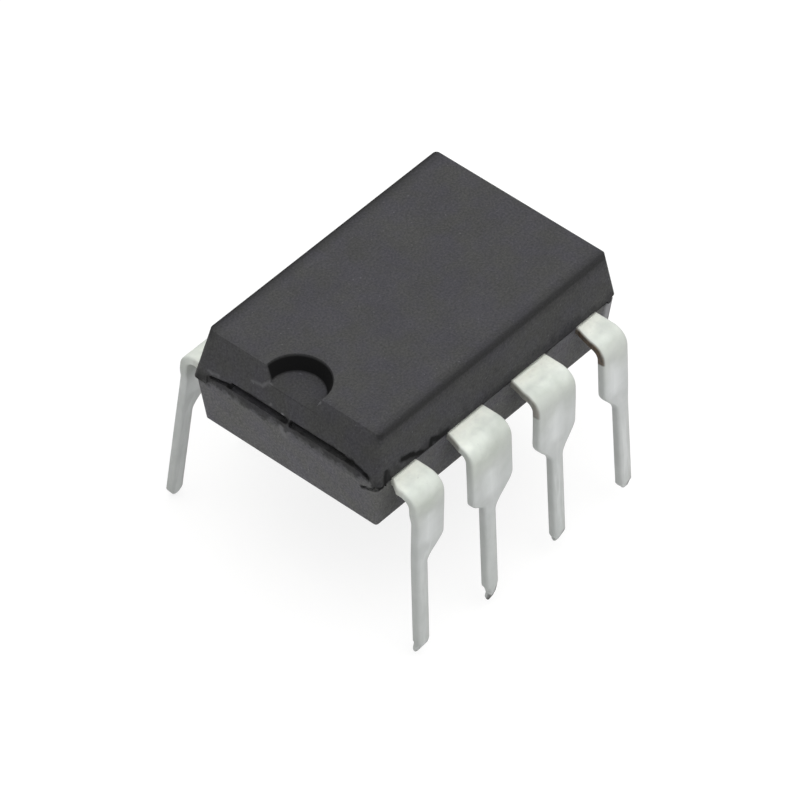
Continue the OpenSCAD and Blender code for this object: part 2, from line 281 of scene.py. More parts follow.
for side in (-1, 1):
    ys = sorted((side * (half_width - groove_depth), side * (half_width + past)))
    cut_with(box_cutter((body_shift - half_length + slit_post, ys[0], cut_low),
                        (body_shift + half_length - slit_post, ys[1], parting_z + groove_height)))


def bar_cutter(start, end, thick, depth):
    """A thin bar along a dipping stretch of the slit; its ends are given in mm from the lead frame."""
    start, end = Vector(start) * MM, Vector(end) * MM
    run = end - start
    deselect()
    bpy.ops.mesh.primitive_cube_add(size=1, location=(start + end) / 2 + Vector((0, 0, frame_height)),
                                    scale=(run.length, depth * MM, thick * MM),
                                    rotation=run.to_track_quat("X", "Z").to_euler())
    return bpy.context.object


for side, low_end in ((1, (-4.72, 2.66, 0.39)), (-1, (-4.72, -2.74, 0.42))):
    cut_with(bar_cutter((-4.72, side * 1.9, 0.535), low_end, 0.13, 0.6))
cut_with(bar_cutter((-4.72, -2.6, -0.1), (-4.72, -3.2, 0.17), 0.13, 0.3))
cut_with(bar_cutter((-4.8, -3.13, 0.2), (-4.4, -3.13, 0.1), 0.13, 0.3))
for side in (-1, 1):
    ys = sorted((side * slit_half, side * (half_width + past)))
    cut_with(box_cutter((body_shift + half_length - 0.22 * MM, ys[0], cut_low),
                        (body_shift + half_length + past, ys[1], parting_z + 0.14 * MM)))
print("body with its hollows, faces:", len(body.data.polygons))

# %% [markdown]
# ## Softened edges
#
# Moulded edges are never knife sharp: they catch a thin line of light. A Bevel modifier limited by
# angle softens all of them at once, and smooth shading up to a set angle keeps the flats flat.

# %% Soften the body's edges
deselect()
body.select_set(True)
bpy.context.view_layer.objects.active = body
apply_modifier("BEVEL", width=0.03 * MM, segments=2, limit_method="ANGLE", angle_limit=math.radians(28),
               use_clamp_overlap=True)
moulded_body = finish_piece("moulded_body", 40)
apply_modifier("WEIGHTED_NORMAL", keep_sharp=True)
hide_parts("package_body")
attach(moulded_body, "root")

# %% [markdown]
# ## Sizes of the leads
#
# Each lead is one stamping. Inside the body a finger runs to its bond wire, outside a wide shoulder
# runs to the bend, and below the bend the shoulder tapers to a narrow shank with a pointed tip. No
# two leads of a handled part stand alike, so reach, splay, sideways lean and tip height are given for
# each lead, lead 1 first.

# %% Lead sizes
lead_spacing = 2.54 * MM
row_half = 1.5 * lead_spacing
shoulder_half = 0.76 * MM
end_shoulder_out, notch_shoulder_out, end_shoulder_in = 0.3 * MM, 0.47 * MM, 0.7 * MM
shoulder_flare, shoulder_narrow = 0.25 * MM, 0.7 * MM
narrowed_out = 0.38 * MM
root_less = {2: 0.15 * MM, 3: 0.12 * MM, 4: 0.15 * MM}
bend_bulge = [v * MM for v in (0.05, 0, 0.06, 0.03, 0.02, 0, 0.02, 0)]
bulge_length = 1.6 * MM
shoulder_more = {2: 0.04 * MM}
outer_taper = {2: (1.4 * MM, 0.42 * MM)}
inner_taper = {1: (1.42 * MM, 0.68 * MM)}
shank_half = 0.225 * MM
bend_radius = 0.24 * MM
bend_middle = bend_radius + strip / 2
bend_outer = bend_radius + strip
shoulder_drop, taper_length = 1.18 * MM, 0.92 * MM
point_thick = 0.11 * MM
lead_reach = [v * MM for v in (0.87, 0.95, 0.96, 1.02, 0.96, 0.96, 0.96, 0.96)]
lead_splay = [math.radians(v) for v in (2.8, 3.8, 4.4, 5.3, 6, 6, 6, 6.8)]
shank_shift = [v * MM for v in (-0.18, -0.14, 0, 0.04, 0.04, 0, 0.2, -0.16)]
tip_height = [v * MM for v in (0.17, 0.17, 0.43, 0.4, 0, 0, 0, 0)]
finger_tip_x, finger_tip_y, finger_middle_y = 1.75 * MM, 0.4 * MM, 1.35 * MM
finger_width, finger_flare = 0.55 * MM, 0.38 * MM
root_y = half_width - halves_step - 0.45 * MM
root_neck = 0.45 * MM
print("leads:", len(lead_reach), "shank mm:", round(2 * shank_half / MM, 2))

# %% [markdown]
# ## The path of one lead
#
# A strip can be described by pairs of points, one on each edge, from the finger's end to the tip. The
# pairs follow the middle of the strip's thickness. Between two pairs lies one face, so the bend and
# the curved taper get close pairs and the straight parts get few.


# %% Pairs of edge points
def ease(t):
    return (1 - math.cos(math.pi * min(max(t, 0), 1))) / 2


def lead_pairs(n):
    side = -1 if n <= 4 else 1
    slot = n - 1 if n <= 4 else 8 - n
    place = side * (slot * lead_spacing - row_half)
    toward = 1 if place > 0 else -1
    at_end = slot in (0, 3)
    bend_y = half_width + lead_reach[n - 1] - bend_outer
    lean = side * shank_shift[n - 1]
    if at_end:
        wide = notch_shoulder_out if slot == 0 else end_shoulder_out
        narrow = narrowed_out if slot == 0 else end_shoulder_out
        outer, inner = place + toward * wide, place - toward * end_shoulder_in
        outer_low = place + toward * narrow
        tip_x = toward * finger_tip_x
        pairs = [((tip_x, finger_tip_y), (tip_x, finger_tip_y + finger_width)),
                 ((tip_x + toward * finger_width, finger_tip_y),
                  (tip_x + toward * finger_flare, finger_tip_y + finger_width)),
                 ((place + toward * end_shoulder_out, root_y), (inner, root_y)),
                 ((place + toward * end_shoulder_out, half_width), (inner, half_width)),
                 ((outer, half_width + shoulder_flare), (inner, half_width + shoulder_flare))]
    else:
        more = shoulder_more.get(n, 0)
        outer, inner = place + shoulder_half + more, place - shoulder_half - more
        outer_low = outer
        half = finger_width / 2
        pairs = [((place + half, finger_middle_y), (place - half, finger_middle_y)),
                 ((place + half, root_y - root_neck), (place - half, root_y - root_neck)),
                 ((outer, root_y), (inner, root_y)),
                 ((outer, half_width), (inner, half_width)),
                 ((outer, half_width + shoulder_flare), (inner, half_width + shoulder_flare))]
    less = root_less.get(n, 0)
    for index, share in ((2, 1), (3, 1), (4, 0.5)):
        notch_edge, far_edge = max(pairs[index]), min(pairs[index])
        pairs[index] = [(p[0] - less * share, p[1]) if p == notch_edge else p for p in pairs[index]]
    pairs = [[Vector((p[0], p[1], 0)) for p in pair] for pair in pairs]
    splay = lead_splay[n - 1]
    turn = math.pi / 2 - splay
    for i in range(11):
        angle = math.pi / 2 - turn * i / 10
        y = bend_y + (bend_middle + bend_bulge[n - 1]) * math.cos(angle)
        z = bend_middle * (math.sin(angle) - 1)
        pairs.append([Vector((outer, y, z)), Vector((inner, y, z))])
    start = Vector((bend_y + bend_middle * math.cos(splay), bend_middle * (math.sin(splay) - 1)))
    down = Vector((math.sin(splay), -math.cos(splay)))
    leg = (frame_height - tip_height[n - 1] + start[1]) / math.cos(splay)
    steps = [strip / 2 + (shoulder_narrow - strip / 2) * i / 6 for i in range(7)] + [0.8 * MM]
    steps += [shoulder_drop + taper_length * i / 16 for i in range(17)]
    straight = point_steps(n, leg)[0][0] - 0.05 * MM - steps[-1]
    steps += [steps[-1] + straight * i / 5 for i in range(1, 6)]
    grade = 1 if outer > inner else -1
    outer_start, outer_length = outer_taper.get(n, (shoulder_drop, taper_length))
    inner_start, inner_length = inner_taper.get(n, (shoulder_drop, taper_length))
    for s in steps:
        share = ease((s - inner_start) / inner_length)
        outer_share = ease((s - outer_start) / outer_length)
        at = start + down * s + Vector((bend_bulge[n - 1] * ease(1 - s / bulge_length), 0))
        widened = outer_low + (outer - outer_low) * (1 - ease((s - strip / 2) / (shoulder_narrow - strip / 2)))
        edges = [widened + (place + lean + grade * shank_half - widened) * outer_share,
                 inner + (place + lean - grade * shank_half - inner) * share]
        pairs.append([Vector((x, at[0], at[1])) for x in edges])
    for s, half, aside, curl in point_steps(n, leg):
        at = start + down * s - Vector((curl, 0))
        pairs.append([Vector((place + lean + side * aside + g * grade * half, at[0], at[1])) for g in (1, -1)])
    turned = [[Vector((side * p.x, side * p.y, p.z + frame_height)) for p in pair] for pair in pairs]
    return turned, Vector((0, side * math.cos(splay), math.sin(splay)))


# %% [markdown]
# ## The tips
#
# The tips were cropped from the strip at a slant, so the last bit leans to one side, and on leads 1
# and 2 it has curled over into a small hook. Each tip is given by a few steps down the leg: how far
# down, how wide on each side, and how far aside.


# %% Steps of the tip
tip_steps = {
    1: ((0.4, 0.2, 0.01, 0), (0.31, 0.175, 0, 0.01), (0.22, 0.135, -0.05, 0.03), (0.08, 0.1, -0.14, 0.07)),
    2: ((0.62, 0.22, 0, 0), (0.5, 0.165, 0.02, 0), (0.36, 0.1, 0.01, 0), (0.22, 0.05, -0.01, 0.01),
        (0.06, 0.03, -0.09, 0.04)),
    3: ((0.24, 0.2, -0.02, 0), (0.12, 0.14, -0.06, 0), (0.03, 0.07, -0.11, 0)),
    4: ((0.3, 0.205, 0, 0), (0.2, 0.16, 0, 0), (0.12, 0.09, 0, 0)),
}
plain_tip = ((0.24, 0.2, 0, 0), (0.12, 0.14, 0.02, 0), (0.0, 0.07, 0.04, 0))


least_half = 0.15 * MM


def point_steps(n, leg):
    """How far down, how wide on each side, how far aside and how far curled in, for each step."""
    return [(leg - up * MM, max(half * MM, least_half), aside * MM, curl * MM)
            for up, half, aside, curl in tip_steps.get(n, plain_tip)]


pairs, leg_normal = lead_pairs(1)
print("pairs on lead 1:", len(pairs), "tip in mm:", [round(v / MM, 2) for v in pairs[-1][0]])

# %% [markdown]
# ## Stamping and bending a lead
#
# A lead starts as a plane whose corners are moved to the first two pairs. Its end edge is then
# extruded again and again, each time to the next pair, as one would follow a drawing. Solidify gives
# the strip its thickness on both sides of that middle surface, and a bevel rolls the sheared edges,
# which on the real lead are rounded by the tin.


# %% Model one lead
def place_corner(index, target):
    mesh = edit_mesh()
    mesh.verts.ensure_lookup_table()
    for v in mesh.verts:
        v.select_set(v.index == index)
    mesh.select_flush(False)
    bpy.ops.transform.translate(value=target - mesh.verts[index].co)


def strip_surface(pairs):
    deselect()
    bpy.ops.mesh.primitive_plane_add(size=MM)
    bpy.ops.object.mode_set(mode="EDIT")
    bpy.ops.mesh.select_mode(type="VERT")
    for index, target in enumerate((pairs[0][0], pairs[0][1], pairs[1][0], pairs[1][1])):
        place_corner(index, target)
    last = (2, 3)
    for pair in pairs[2:]:
        mesh = edit_mesh()
        mesh.verts.ensure_lookup_table()
        for v in mesh.verts:
            v.select_set(v.index in last)
        mesh.select_flush(True)
        bpy.ops.mesh.extrude_edges_move(TRANSFORM_OT_translate={"value": pair[0] - mesh.verts[last[0]].co})
        mesh = edit_mesh()
        mesh.verts.index_update()
        mesh.verts.ensure_lookup_table()
        new = [v.index for v in mesh.verts if v.select]
        first = min(new, key=lambda i: (mesh.verts[i].co - pair[0]).length)
        second = [i for i in new if i != first][0]
        place_corner(second, pair[1])
        last = (first, second)
    bpy.ops.mesh.select_all(action="SELECT")
    bpy.ops.mesh.normals_make_consistent(inside=False)
    bpy.ops.object.mode_set(mode="OBJECT")


def mark_places(lead, pairs):
    """Keeps for each vertex, in mm: how far out along the strip, how far across, and half the width."""
    side = 1 if pairs[-1][0].y > 0 else -1
    middles = [(a + b) / 2 for a, b in pairs]
    lengths = [0]
    for first, second in zip(middles, middles[1:]):
        lengths.append(lengths[-1] + (second - first).length)
    at_body = next(length for length, m in zip(lengths, middles) if side * m.y > half_width - 0.01 * MM)
    places = lead.data.attributes.new("strip_place", "FLOAT_VECTOR", "POINT")
    for vertex in lead.data.vertices:
        best = None
        for i in range(len(middles) - 1):
            run = middles[i + 1] - middles[i]
            t = min(max((vertex.co - middles[i]).dot(run) / run.length_squared, 0), 1)
            gap = (vertex.co - middles[i] - run * t).length
            across = Vector((vertex.co.x - (middles[i] + run * t).x, 0, 0)).x
            off = (vertex.co - middles[i] - run * t - Vector((across, 0, 0))).length
            if best is None or off + 0.01 * gap < best[0]:
                half = [abs(pairs[k][0].x - pairs[k][1].x) / 2 for k in (i, i + 1)]
                best = (off + 0.01 * gap, lengths[i] + run.length * t - at_body, across,
                        half[0] + (half[1] - half[0]) * t)
        places.data[vertex.index].vector = [v / MM for v in best[1:]]


def narrow_tip(n, pairs):
    """Narrows the rings of the tip once its edges are rolled, so that the roll narrows with them."""
    steps = tip_steps.get(n, plain_tip)
    for step, pair, before in zip(steps, pairs[-len(steps):], pairs[-len(steps) - 1:-1]):
        middle_point = (pair[0] + pair[1]) / 2
        run = middle_point - (before[0] + before[1]) / 2
        run = Vector((0, run.y, run.z)).normalized()
        room = (0.1 if pair is pairs[-1] else 0.03) * MM
        share = min(step[1] * MM / least_half, 1)
        bpy.ops.object.mode_set(mode="EDIT")
        pick("verts", lambda v: abs((v.co - middle_point).dot(run)) < room and (v.co - middle_point).length < 0.4 * MM)
        bpy.ops.transform.resize(value=(share, 1, 1), center_override=middle_point)
        bpy.ops.object.mode_set(mode="OBJECT")


def make_lead(n):
    pairs, leg_normal = lead_pairs(n)
    strip_surface(pairs)
    apply_modifier("SOLIDIFY", thickness=strip, offset=0, use_even_offset=True)
    bpy.ops.object.mode_set(mode="EDIT")
    end = (pairs[-1][0] + pairs[-1][1]) / 2
    turn = Vector((0, 0, 1)).rotation_difference(leg_normal).to_matrix()
    for low, high, share in ((-0.05, 0.05, point_thick / strip), (0.05, 0.2, 0.8)):
        pick("verts", lambda v: (v.co - end).length < 0.4 * MM and low * MM < (v.co - end).z <= high * MM)
        bpy.ops.transform.resize(value=(1, 1, share), orient_type="GLOBAL", orient_matrix=turn,
                                 orient_matrix_type="GLOBAL", center_override=end)
    bpy.ops.mesh.select_all(action="SELECT")
    bpy.ops.mesh.normals_make_consistent(inside=False)
    bpy.ops.object.mode_set(mode="OBJECT")
    apply_modifier("BEVEL", width=0.06 * MM, segments=3, limit_method="ANGLE", angle_limit=math.radians(40),
                   use_clamp_overlap=False)
    narrow_tip(n, pairs)
    lead = finish_piece("lead_%d" % n, 40)
    mark_places(lead, pairs)
    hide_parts("pin_%d" % n)
    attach(lead, "root")
    return lead


leads = [make_lead(n) for n in range(1, 9)]

# %% [markdown]
# ## Materials
#
# Every surface gets its own small network of nodes. All patterns are read in object coordinates,
# which here are metres, so a scale of 10,000 gives a grain of a tenth of a millimetre. A helper makes
# a material and joins nodes in one line each.


# %% Helper for node networks
class Finish:
    def __init__(self, name):
        self.material = bpy.data.materials.new(name)
        self.material.use_nodes = True
        self.tree = self.material.node_tree
        self.shader = self.tree.nodes["Principled BSDF"]
        self.place = self.add("ShaderNodeTexCoord").outputs["Object"]
        self.frayed = self.place

    def add(self, kind, **settings):
        node = self.tree.nodes.new(kind)
        for name, value in settings.items():
            if hasattr(node, name):
                setattr(node, name, value)
            else:
                node.inputs[name.replace("_", " ")].default_value = value
        return node

    def join(self, source, target):
        self.tree.links.new(source, target)

    def noise(self, scale, detail=2.0, roughness=0.5, stretch=None):
        node = self.add("ShaderNodeTexNoise", Scale=scale, Detail=detail, Roughness=roughness)
        place = self.place
        if stretch:
            mapping = self.add("ShaderNodeMapping", Scale=stretch)
            self.join(place, mapping.inputs["Vector"])
            place = mapping.outputs["Vector"]
        self.join(place, node.inputs["Vector"])
        return node.outputs["Fac"]

    def ramp(self, value, stops):
        node = self.add("ShaderNodeValToRGB")
        self.join(value, node.inputs["Fac"])
        elements = node.color_ramp.elements
        while len(elements) < len(stops):
            elements.new(0.5)
        for element, (at, colour) in zip(elements, stops):
            element.position = at
            element.color = (*colour, 1) if len(colour) == 3 else colour
        return node.outputs["Color"]

    def span(self, value, low, high, to_low=0.0, to_high=1.0):
        node = self.add("ShaderNodeMapRange")
        for name, number in (("From Min", low), ("From Max", high), ("To Min", to_low), ("To Max", to_high)):
            node.inputs[name].default_value = number
        self.join(value, node.inputs["Value"])
        return node.outputs["Result"]

    def blend(self, factor, first, second, mode="MIX"):
        node = self.add("ShaderNodeMix", data_type="RGBA", blend_type=mode)
        for source, socket in ((factor, node.inputs[0]), (first, node.inputs[6]), (second, node.inputs[7])):
            if isinstance(source, (int, float)):
                socket.default_value = source
            elif isinstance(source, tuple):
                socket.default_value = (*source, 1)
            else:
                self.join(source, socket)
        return node.outputs[2]

    def math(self, kind, first, second):
        node = self.add("ShaderNodeMath", operation=kind)
        for source, socket in ((first, node.inputs[0]), (second, node.inputs[1])):
            if isinstance(source, (int, float)):
                socket.default_value = source
            else:
                self.join(source, socket)
        return node.outputs[0]

    def vector(self, kind, first, second=None, scale=None, out="Vector"):
        node = self.add("ShaderNodeVectorMath", operation=kind)
        for source, index in ((first, 0), (second, 1), (scale, 3)):
            if isinstance(source, Vector):
                node.inputs[index].default_value = source
            elif source is not None:
                self.join(source, node.inputs[index])
        return node.outputs[out]

    def fray(self, scale, size):
        """Makes the strokes that follow uneven: each place is moved a little by a noise."""
        node = self.add("ShaderNodeTexNoise", Scale=scale, Detail=3.0)
        self.join(self.place, node.inputs["Vector"])
        moved = self.vector("SUBTRACT", node.outputs["Color"], Vector((0.5, 0.5, 0.5)))
        self.frayed = self.vector("ADD", self.vector("MULTIPLY", moved, Vector((size, size, size))), None)
        self.join(self.place, self.frayed.node.inputs[1])

    def stroke(self, start, end, radius, rim):
        """1 on the surface within the radius of a line from start to end, fading to 0 over the rim."""
        start = Vector(start) * MM + Vector((0, 0, frame_height))
        end = Vector(end) * MM + Vector((0, 0, frame_height))
        run = end - start
        offset = self.vector("SUBTRACT", self.frayed, start)
        share = self.span(self.vector("DOT_PRODUCT", offset, run / run.length_squared * MM, out="Value"), 0, MM)
        nearest = self.vector("SCALE", run, scale=share)
        gap = self.vector("DISTANCE", offset, nearest, out="Value")
        return self.span(gap, radius * MM, (radius + rim) * MM, 1.0, 0.0)

    def strokes(self, lines):
        """The darkest of several strokes, each given as start, end, radius, rim and strength."""
        found = 0.0
        for start, end, radius, rim, strength in lines:
            found = self.math("MAXIMUM", found, self.math("MULTIPLY", self.stroke(start, end, radius, rim), strength))
        return found

    def bump(self, height, distance, strength=1.0):
        node = self.add("ShaderNodeBump", Strength=strength, Distance=distance)
        self.join(height, node.inputs["Height"])
        self.join(node.outputs["Normal"], self.shader.inputs["Normal"])


def grey(level):
    return (level, level, level * 1.04)


def dress(piece, finish):
    piece.data.materials.clear()
    piece.data.materials.append(finish.material)


# %% [markdown]
# ## Charcoal moulding compound
#
# The compound is epoxy filled with ground silica. Close up it is a fine matte grain with pale specks
# where a grain of filler lies at the surface. The lower half is painted paler, as painted light from
# the white paper under it, and painted shade lies in the end slits and in a ragged band under each.
# A plain noise would look like cloud, so three sizes of pattern are mixed: a cloudy base, a fine grain and rare specks.

# %% Moulding compound
compound = Finish("mould_compound")
grain = compound.noise(16000, 3, 0.65)
cloud = compound.noise(900, 3, 0.6)
base = compound.ramp(grain, [(0.3, grey(0.0375)), (0.5, grey(0.049)), (0.7, grey(0.063))])
base = compound.blend(compound.span(cloud, 0.35, 0.7), base, compound.blend(1.0, base, (1.14, 1.14, 1.12), "MULTIPLY"))
specks = compound.span(compound.noise(11000, 1, 0.5), 0.73, 0.80)
base = compound.blend(compound.math("MULTIPLY", specks, 0.45), base, grey(0.15))
split = compound.add("ShaderNodeSeparateXYZ")
compound.join(compound.place, split.inputs[0])
along, across, height = split.outputs

# painted light: the lower half is paler, as lit by the white paper under it, with a ragged upper limit
ragged = compound.math("MULTIPLY", compound.math("SUBTRACT", compound.noise(2500, 3, 0.6), 0.5), 1.1 * MM)
rough_height = compound.math("ADD", height, ragged)
lit_lower_half = compound.span(rough_height, parting_z - 0.02 * MM, parting_z + 0.1 * MM, 1.0, 0.0)
base = compound.blend(lit_lower_half, base, compound.blend(1.0, base, (2.15, 2.15, 2.12), "MULTIPLY"))

# faint changes of hue, bluish and brownish
hue = compound.ramp(compound.noise(1500, 2, 0.5), [(0.35, (1.0, 1.0, 0.96)), (0.65, (1.0, 0.985, 1.07))])
base = compound.blend(1.0, base, hue, "MULTIPLY")

# painted shade: the long sides darken down to the parting line, as under the lip over the leads
beside = compound.span(compound.math("ABSOLUTE", across, 0.0), half_width - 0.26 * MM, half_width - 0.12 * MM)
near_parting = compound.span(rough_height, parting_z, parting_z + 0.5 * MM, 0.78, 0.0)
upper = compound.span(height, parting_z - 0.02 * MM, parting_z)
side_shade = compound.math("MULTIPLY", beside, compound.math("MULTIPLY", near_parting, upper))
base = compound.blend(side_shade, base, grey(0.010))

# painted shade: a soft dark line along the long top edges, where the top turns down to the sides
folded = compound.add("ShaderNodeCombineXYZ")
compound.join(compound.math("ABSOLUTE", across, 0.0), folded.inputs[0])
compound.join(height, folded.inputs[1])
edge_gap = compound.vector("DISTANCE", folded.outputs[0], Vector((half_width - side_draft_top, top_z - 0.06 * MM, 0)),
                           out="Value")
top_edge_shade = compound.ramp(compound.span(edge_gap, 0, 0.36 * MM),
                          [(0.0, grey(0.85)), (0.2, grey(0.78)), (0.4, grey(0.35)), (1.0, grey(0.0))])
base = compound.blend(top_edge_shade, base, grey(0.012))

# painted shade on the notch's wall, behind the end face
from_notch = compound.add("ShaderNodeCombineXYZ")
compound.join(compound.math("SUBTRACT", along, notch_x), from_notch.inputs[0])
compound.join(across, from_notch.inputs[1])
reach = compound.vector("LENGTH", from_notch.outputs[0], out="Value")
in_notch = compound.span(reach, notch_radius - 0.03 * MM, notch_radius + 0.015 * MM, 1.0, 0.0)
floor_z = top_z - notch_depth
off_floor = compound.span(height, floor_z + 0.005 * MM, floor_z + 0.06 * MM)
behind = compound.span(along, notch_x - 0.13 * MM, notch_x - 0.06 * MM)
notch_wall_shade = compound.math("MULTIPLY", compound.math("MULTIPLY", in_notch, off_floor), behind)

# painted shade: the notch's floor, down in its recess, is a little darker than the top
notch_floor_shade = compound.span(compound.math("ABSOLUTE", compound.math("SUBTRACT", height, floor_z), 0.0),
                         0.02 * MM, 0.05 * MM, 0.9, 0.0)
notch_floor_shade = compound.math("MULTIPLY", in_notch, notch_floor_shade)
base = compound.blend(notch_floor_shade, base, compound.blend(1.0, base, (0.74, 0.74, 0.74), "MULTIPLY"))

# painted shade in and under the slits, in the gaps along the torn parting line and over the right part of the end face,
# with soft rims
compound.fray(3500, 0.14 * MM)
end_x, side_y = -4.66, -3.12
slit_shade_lines = [((end_x, 2.66, 0.39), (end_x, 2.05, 0.49), 0.03, 0.08, 0.9),
              ((end_x, 2.05, 0.49), (end_x, 1.35, 0.55), 0.055, 0.1, 1.0),
              ((end_x, 1.35, 0.55), (end_x, 0.1, 0.535), 0.08, 0.1, 1.0),
              ((end_x, 0.2, 0.53), (end_x, -0.2, 0.51), 0.05, 0.09, 0.72),
              ((end_x, -0.12, 0.515), (end_x, -1.1, 0.555), 0.075, 0.1, 1.0),
              ((end_x, -1.1, 0.555), (end_x, -2.2, 0.53), 0.08, 0.1, 1.0),
              ((end_x, -2.2, 0.53), (end_x, -2.76, 0.40), 0.05, 0.1, 0.95),
              ((end_x, 2.3, 0.32), (end_x, 0.25, 0.36), 0.05, 0.26, 0.5),
              ((end_x + 0.1, -1.2, 1.1), (end_x + 0.1, -2.5, 1.0), 0.3, 0.5, 0.13),
              ((end_x, -0.3, 0.36), (end_x, -2.4, 0.32), 0.05, 0.26, 0.5)]
parting_gap_shade_lines = [((-3.72, side_y, 0.58), (-3.30, side_y, 0.43), 0.06, 0.08, 0.95),
              ((-3.30, side_y, 0.43), (-2.92, side_y, 0.24), 0.04, 0.08, 0.9),
              ((-2.92, side_y, 0.24), (-2.65, side_y, 0.20), 0.03, 0.07, 0.85),
              ((-2.65, side_y, 0.22), (-2.55, side_y, 0.42), 0.05, 0.08, 0.9),
              ((-2.55, side_y, 0.42), (-2.30, side_y, 0.28), 0.06, 0.09, 0.9),
              ((-2.30, side_y, 0.30), (-1.95, side_y, 0.30), 0.05, 0.1, 0.8),
              ((-4.30, side_y, 0.46), (-4.28, side_y, 0.20), 0.09, 0.09, 0.75),
              ((-4.66, -2.55, -0.12), (-4.66, -2.82, 0.02), 0.04, 0.06, 0.9),
              ((-4.66, -2.82, 0.02), (-4.68, -3.08, 0.15), 0.045, 0.06, 0.95),
              ((-4.68, -3.08, 0.15), (-4.42, -3.1, 0.08), 0.05, 0.06, 0.95),
              ((-4.42, -3.1, 0.08), (-4.34, -3.12, 0.55), 0.06, 0.07, 0.85),
              ((-4.72, 3.1, 0.16), (-4.68, 2.6, 0.32), 0.06, 0.14, 0.55)]
# painted shade deep inside the slits, behind the end faces
hollow_depth = compound.math("SUBTRACT", half_length - 0.1 * MM,
                             compound.math("ABSOLUTE", compound.math("SUBTRACT", along, body_shift), 0.0))
slit_low, slit_high = frame_height + slit_level, frame_height + slit_level + slit_gap
slit_inside_shade = compound.math("MULTIPLY", compound.span(hollow_depth, 0.12 * MM, 0.18 * MM),
                     compound.math("MULTIPLY", compound.span(height, slit_low - 0.1 * MM, slit_low - 0.05 * MM),
                                   compound.span(height, slit_high + 0.01 * MM, slit_high + 0.05 * MM, 1.0, 0.0)))
within = compound.span(compound.math("ABSOLUTE", across, 0.0), slit_half + 0.04 * MM, slit_half + 0.06 * MM, 1.0, 0.0)
slit_inside_shade = compound.math("MULTIPLY", slit_inside_shade, within)
shade = compound.math("MAXIMUM", compound.math("MAXIMUM", notch_wall_shade, slit_inside_shade), compound.strokes(slit_shade_lines + parting_gap_shade_lines))
base = compound.blend(shade, base, grey(0.004))

# pale marks: a painted highlight along the lip of the notch, and threads of flash and a few chips
lip_highlight_and_flash_lines = [((-4.56, 1.3, 1.08), (-4.54, 1.0, 1.13), 0.01, 0.08, 0.36),
              ((-4.54, 1.0, 1.13), (-4.49, 0.72, 1.38), 0.01, 0.08, 0.4),
              ((-4.47, -0.77, 1.52), (-4.43, -0.9, 1.72), 0.015, 0.05, 0.6),
              ((-4.72, 2.87, 0.02), (-4.72, 2.77, -0.15), 0.01, 0.06, 0.6),
              ((-4.72, 2.77, -0.15), (-4.72, 2.54, -0.33), 0.01, 0.06, 0.5),
              ((-4.64, 2.72, 0.56), (-4.63, 2.4, 0.62), 0.01, 0.06, 0.4),
              ((-4.63, 0.19, 0.68), (-4.63, 0.19, 0.66), 0.01, 0.06, 0.9),
              ((-4.61, 0.6, 0.75), (-4.61, 0.6, 0.73), 0.01, 0.05, 0.5),
              ((-4.70, 0.2, 0.20), (-4.72, 0.16, 0.0), 0.05, 0.1, 0.75),
              ((-4.70, 2.0, 0.12), (-4.70, 1.8, 0.1), 0.02, 0.1, 0.5),
              ((2.63, -3.1, -0.2), (2.62, -3.1, 0.06), 0.01, 0.05, 0.8),
              ((2.62, -3.1, 0.06), (3.05, -3.1, -0.05), 0.01, 0.05, 0.8)]
lip_highlight_and_flash = compound.strokes(lip_highlight_and_flash_lines)
base = compound.blend(lip_highlight_and_flash, base, grey(0.17))
bleached = compound.strokes([((4.66, -3.06, 0.0), (4.60, -3.03, -0.5), 0.07, 0.14, 0.85)])
base = compound.blend(bleached, base, grey(0.34))
compound.join(base, compound.shader.inputs["Base Color"])
compound.join(compound.math("MAXIMUM", compound.span(grain, 0.3, 0.7, 0.7, 0.55), shade),
              compound.shader.inputs["Roughness"])
compound.shader.inputs["Specular IOR Level"].default_value = 0.15
compound.bump(compound.math("ADD", grain, compound.math("MULTIPLY", specks, 0.6)), 0.008 * MM, 0.8)
dress(moulded_body, compound)

# %% [markdown]
# ## Tinned strip
#
# Tin over copper is a soft grey metal with a satin surface. It is not quite even: it has cloudy
# patches a few tenths of a millimetre across, faint streaks along the shank from the bending tool and
# duller freckles. The streaks come from a noise that is stretched along the height.

# %% Tin plating
tin = Finish("tinned_lead")
patches = tin.noise(1800, 3, 0.6)
streaks = tin.noise(7000, 2, 0.5, stretch=(1, 1, 0.08))
freckles = tin.noise(12000, 2, 0.6)
tone = tin.ramp(patches, [(0.3, (0.93, 0.94, 0.93)), (0.55, (1.0, 1.0, 1.0)), (0.75, (1.04, 1.04, 1.03))])
strip_place = tin.add("ShaderNodeAttribute", attribute_name="strip_place")
spread = tin.add("ShaderNodeSeparateXYZ")
tin.join(strip_place.outputs["Vector"], spread.inputs[0])
out, offset, half = spread.outputs

# painted light and shade along the strip: bright shoulder facing up, darker greenish bend, paler under it, greyer shank
# towards the floor
wander = tin.math("ADD", out, tin.math("MULTIPLY", tin.math("SUBTRACT", tin.noise(1100, 2, 0.5), 0.5), 1.1))
lengthwise_light = tin.ramp(tin.span(wander, 0, 4), [(0.0, (0.93, 0.95, 0.87)), (0.08, (0.88, 0.91, 0.845)),
                                               (0.14, (0.69, 0.725, 0.68)), (0.22, (0.55, 0.58, 0.54)),
                                               (0.34, (0.54, 0.56, 0.545)), (0.5, (0.59, 0.605, 0.61)),
                                               (0.72, (0.555, 0.57, 0.575)),
                                               (1.0, (0.54, 0.555, 0.555))])
tone = tin.blend(1.0, tone, lengthwise_light, "MULTIPLY")
